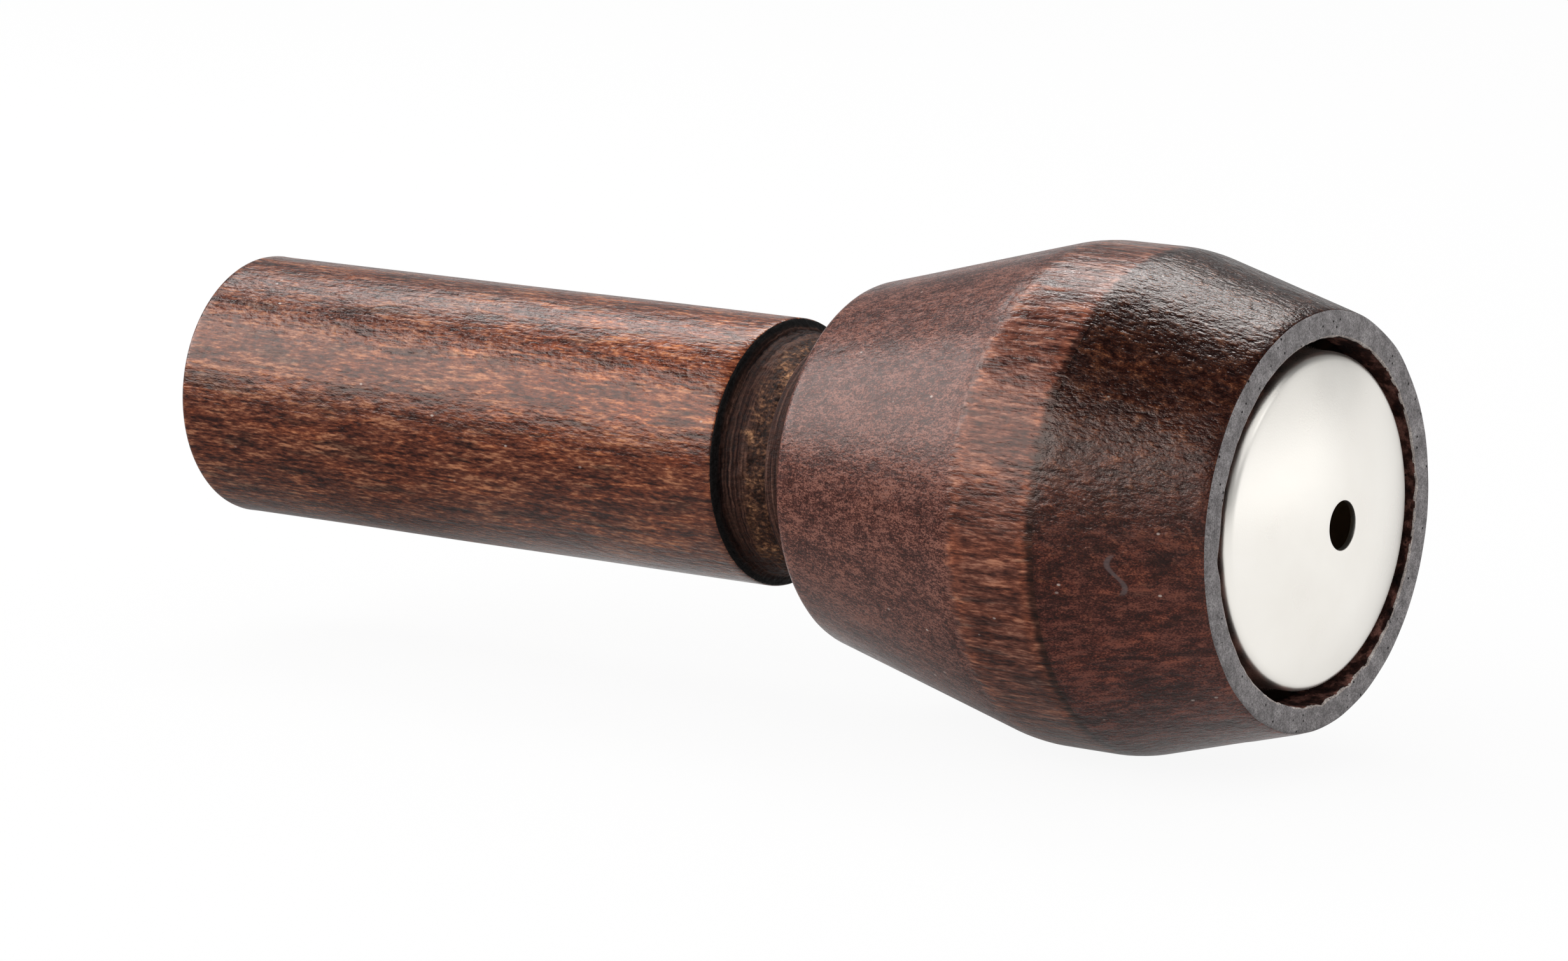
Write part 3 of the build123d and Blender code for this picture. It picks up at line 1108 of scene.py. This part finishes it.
def dome_outline():
    """The front dish's sheet: outer dome, knuckle, skirt and flange, then back along the inside."""
    knuckle_drop = APEX_X - KNUCKLE_X
    centre_radius = SKIRT_RADIUS - KNUCKLE_RADIUS
    sphere = knuckle_drop**2 + centre_radius**2 - KNUCKLE_RADIUS**2
    sphere /= 2 * (knuckle_drop - KNUCKLE_RADIUS)
    sphere_x = APEX_X - sphere
    dome_angle = atan2(centre_radius, KNUCKLE_X - sphere_x)
    hole_angle = atan2(HOLE_RADIUS, sphere)
    faces = []
    for depth in (0.0, SHEET):
        points = []
        for step in range(DOME_STEPS + 1):
            angle = hole_angle + (dome_angle - hole_angle) * step / DOME_STEPS
            points.append((sphere_x + (sphere - depth) * cos(angle), (sphere - depth) * sin(angle)))
        for step in range(1, KNUCKLE_STEPS + 1):
            angle = dome_angle + (pi / 2 - dome_angle) * step / KNUCKLE_STEPS
            bend = KNUCKLE_RADIUS - depth
            points.append((KNUCKLE_X + bend * cos(angle), centre_radius + bend * sin(angle)))
        faces.append(points)
    flange_front_x = FLANGE_REAR_X + SHEET
    flange = [
        (flange_front_x, SKIRT_RADIUS),
        (flange_front_x, FLANGE_RADIUS),
        (FLANGE_REAR_X, FLANGE_RADIUS),
        (FLANGE_REAR_X, SKIRT_RADIUS - SHEET),
    ]
    return faces[0] + flange + faces[1][::-1]


def make_front_dish():
    """The domed dish, with the hole's edge eased."""
    outline = dome_outline()
    rounds = [(*outline[0], HOLE_ROUND, 3), (*outline[-1], HOLE_ROUND, 2)]
    bm = turned(outline, rounds, [], DISH_SPIN_STEPS)
    dish = finished(bm, "domed_dish", [CAPSULE_METAL], lambda x, radius, normal: CAPSULE_METAL)
    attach(dish, "barrel")
    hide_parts("front_dish")


def dress_inner_nodes():
    """Materials for the inner pieces, which keep their solids."""
    finishes = {
        "rear_dish": make_bare_metal(),
        "seat_washer": make_washer_leather(),
        "o_ring_rear": make_seal_rubber(),
    }
    finishes["o_ring_front"] = finishes["o_ring_rear"]
    for name, material in finishes.items():
        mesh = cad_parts[name].data
        mesh.materials.clear()
        mesh.materials.append(material)


make_stem()
make_barrel()
make_front_dish()
dress_inner_nodes()


# Studio

# The camera: its direction, its place from the mouth end and its lens in millimetres, and the
# nearest distance it sees in metres
CAMERA_AZIMUTH = radians(36.1)
CAMERA_ELEVATION = radians(10.7)
CAMERA_RIGHT = 34.61
CAMERA_UP = -6.51
CAMERA_BACK = 443.34
CAMERA_LENS = 152.8
CAMERA_SENSOR = 36.0
CAMERA_CLIP = 0.01


def make_camera():
    """The photograph's viewpoint."""
    right = Vector((cos(CAMERA_AZIMUTH), sin(CAMERA_AZIMUTH), 0.0))
    back = Vector(
        (
            sin(CAMERA_AZIMUTH) * cos(CAMERA_ELEVATION),
            -cos(CAMERA_AZIMUTH) * cos(CAMERA_ELEVATION),
            sin(CAMERA_ELEVATION),
        )
    )
    up = back.cross(right)
    place = (right * CAMERA_RIGHT + up * CAMERA_UP + back * CAMERA_BACK) * MM
    lens = bpy.data.cameras.new("camera")
    lens.lens = CAMERA_LENS
    lens.sensor_width = CAMERA_SENSOR
    lens.clip_start = CAMERA_CLIP
    camera = bpy.data.objects.new("camera", lens)
    turn = Matrix((right, up, back)).transposed().to_4x4()
    camera.matrix_world = Matrix.Translation(place) @ turn
    bpy.context.scene.collection.objects.link(camera)
    bpy.context.scene.camera = camera


# How far a softbox's lamp for light stands behind its lamp for sheen, in metres
LIGHT_SETBACK = 0.01


def make_softbox(name, place, target, size, light, sheen):
    """A rectangular softbox that faces a target.

    It is two lamps, one just behind the other, so that the light it throws and the sheen it leaves on
    varnish can be set apart. Both are given as radiance.
    """
    facing = (target - place).normalized()
    for kind, radiance, setback in (("light", light, LIGHT_SETBACK), ("sheen", sheen, 0.0)):
        lamp = bpy.data.lights.new(f"{name}_{kind}", "AREA")
        lamp.shape = "RECTANGLE"
        lamp.size, lamp.size_y = size
        lamp.energy = radiance * size[0] * size[1] * pi
        softbox = bpy.data.objects.new(f"{name}_{kind}", lamp)
        softbox.location = place - facing * setback
        softbox.rotation_mode = "QUATERNION"
        softbox.rotation_quaternion = facing.to_track_quat("-Z", "Y")
        softbox.visible_camera = False
        softbox.visible_diffuse = kind == "light"
        softbox.visible_glossy = kind == "sheen"
        bpy.context.scene.collection.objects.link(softbox)


# Floor, in metres. Each card gives two places along X and the white that it adds to reflections at
# each, below 0 where it takes white away
FLOOR_RADIUS = 3.0
FLOOR_SEGMENTS = 96
FLOOR_MIDDLE_X = 0.04
FLOOR_GAP = 0.1 * MM
WHITE_CARDS = {
    "under_stem": (0.004, 0.024, 0.08, 0.60),
    "under_barrel": (0.040, 0.060, 0.0, -0.31),
    "beyond_rim": (0.065, 0.095, 0.0, 0.62),
}
WHITE = (1.0, 1.0, 1.0, 1.0)
SEEN_WHITE = 0.92
SEEN_PAPER = (0.9, 0.9, 0.9, 1.0)
REFLECTED_PAPER = (0.25, 0.25, 0.25, 1.0)
PLAIN_PAPER = (0.36, 0.36, 0.36, 1.0)


def make_floor():
    """A white floor under the band, which keeps a faint shadow.

    Reflections see it grey under the barrel, and whiter under the stem and beyond the rim, as if
    white cards lay there.
    """
    bm = bmesh.new()
    bmesh.ops.create_circle(bm, cap_ends=True, segments=FLOOR_SEGMENTS, radius=FLOOR_RADIUS)
    bmesh.ops.translate(bm, verts=bm.verts, vec=(FLOOR_MIDDLE_X, 0.0, cad_low.z - FLOOR_GAP))
    mesh = bpy.data.meshes.new("floor")
    bm.to_mesh(mesh)
    bm.free()
    material = bpy.data.materials.new("floor")
    material.use_nodes = True
    tree = material.node_tree
    tree.nodes.clear()
    x = axes_of(tree, node(tree, "ShaderNodeTexCoord").outputs["Object"])[0]
    path = node(tree, "ShaderNodeLightPath").outputs
    card = 0.0
    for steps in WHITE_CARDS.values():
        card = calculate(tree, "ADD", spread(tree, x, *steps), card)
    reflected = calculate(tree, "MAXIMUM", path["Is Glossy Ray"], path["Is Transmission Ray"])
    seen = calculate(tree, "MULTIPLY", path["Is Camera Ray"], SEEN_WHITE)
    share = calculate(tree, "MAXIMUM", seen, calculate(tree, "MULTIPLY", reflected, card))
    grey = blend_colour(tree, path["Is Glossy Ray"], PLAIN_PAPER, REFLECTED_PAPER)
    grey = blend_colour(tree, path["Is Camera Ray"], grey, SEEN_PAPER)
    paper = node(tree, "ShaderNodeBsdfDiffuse", {"Color": grey}).outputs[0]
    white = node(tree, "ShaderNodeEmission", {"Color": WHITE, "Strength": 1.0}).outputs[0]
    mixed = node(tree, "ShaderNodeMixShader", {0: share, 1: paper, 2: white}).outputs[0]
    node(tree, "ShaderNodeOutputMaterial", {"Surface": mixed})
    mesh.materials.append(material)
    floor = bpy.data.objects.new("floor", mesh)
    bpy.context.scene.collection.objects.link(floor)


# The room's grey by height, from the horizon up, and the strength of the fill
SKY_STOPS = [
    (0.0, (1.0, 1.0, 1.0)),
    (0.1, (0.55, 0.55, 0.55)),
    (0.3, (0.3, 0.3, 0.3)),
    (0.9, (0.05, 0.05, 0.05)),
]
FILL_STRENGTH = 0.55


def make_world():
    """A room that is white at the horizon and dim overhead, with a plain soft fill."""
    world = bpy.data.worlds.new("studio")
    bpy.context.scene.world = world
    world.use_nodes = True
    tree = world.node_tree
    tree.nodes.clear()
    height = axes_of(tree, node(tree, "ShaderNodeTexCoord").outputs["Generated"])[2]
    backdrop = node(tree, "ShaderNodeBackground", {"Color": ramp(tree, height, SKY_STOPS)}).outputs[0]
    fill = node(tree, "ShaderNodeBackground", {"Color": WHITE, "Strength": FILL_STRENGTH}).outputs[0]
    path = node(tree, "ShaderNodeLightPath").outputs
    seen = calculate(tree, "MAXIMUM", path["Is Camera Ray"], path["Is Glossy Ray"])
    seen = calculate(tree, "MAXIMUM", seen, path["Is Transmission Ray"])
    mixed = node(tree, "ShaderNodeMixShader", {0: seen, 1: fill, 2: backdrop}).outputs[0]
    node(tree, "ShaderNodeOutputWorld", {"Surface": mixed})


# Softboxes: name, place, target, size in metres, light and sheen
MIDDLE = Vector((0.045, 0.0, 0.0))
DISH = Vector((0.084, 0.0, 0.0))
SOFTBOXES = [
    ("left_softbox", Vector((-0.297, -0.277, 0.240)), MIDDLE, (0.78, 0.36), 2.25, 6.3),
    ("top_left_softbox", Vector((-0.232, 0.158, 0.330)), MIDDLE, (0.20, 0.12), 4.4, 6.1),
    ("top_right_softbox", Vector((-0.089, 0.229, 0.386)), MIDDLE, (0.20, 0.165), 2.3, 11.0),
    ("front_softbox", Vector((0.027, -0.435, 0.240)), MIDDLE, (0.25, 0.20), 1.5, 3.0),
    ("dish_softbox", Vector((0.285, -0.030, 0.213)), DISH, (0.30, 0.22), 0.2, 0.75),
    ("right_card", Vector((0.220, 0.072, 0.045)), DISH, (0.16, 0.14), 1.4, 0.38),
]

make_camera()
make_floor()
make_world()
for softbox_setting in SOFTBOXES:
    make_softbox(*softbox_setting)

bpy.context.scene.view_settings.view_transform = "Standard"
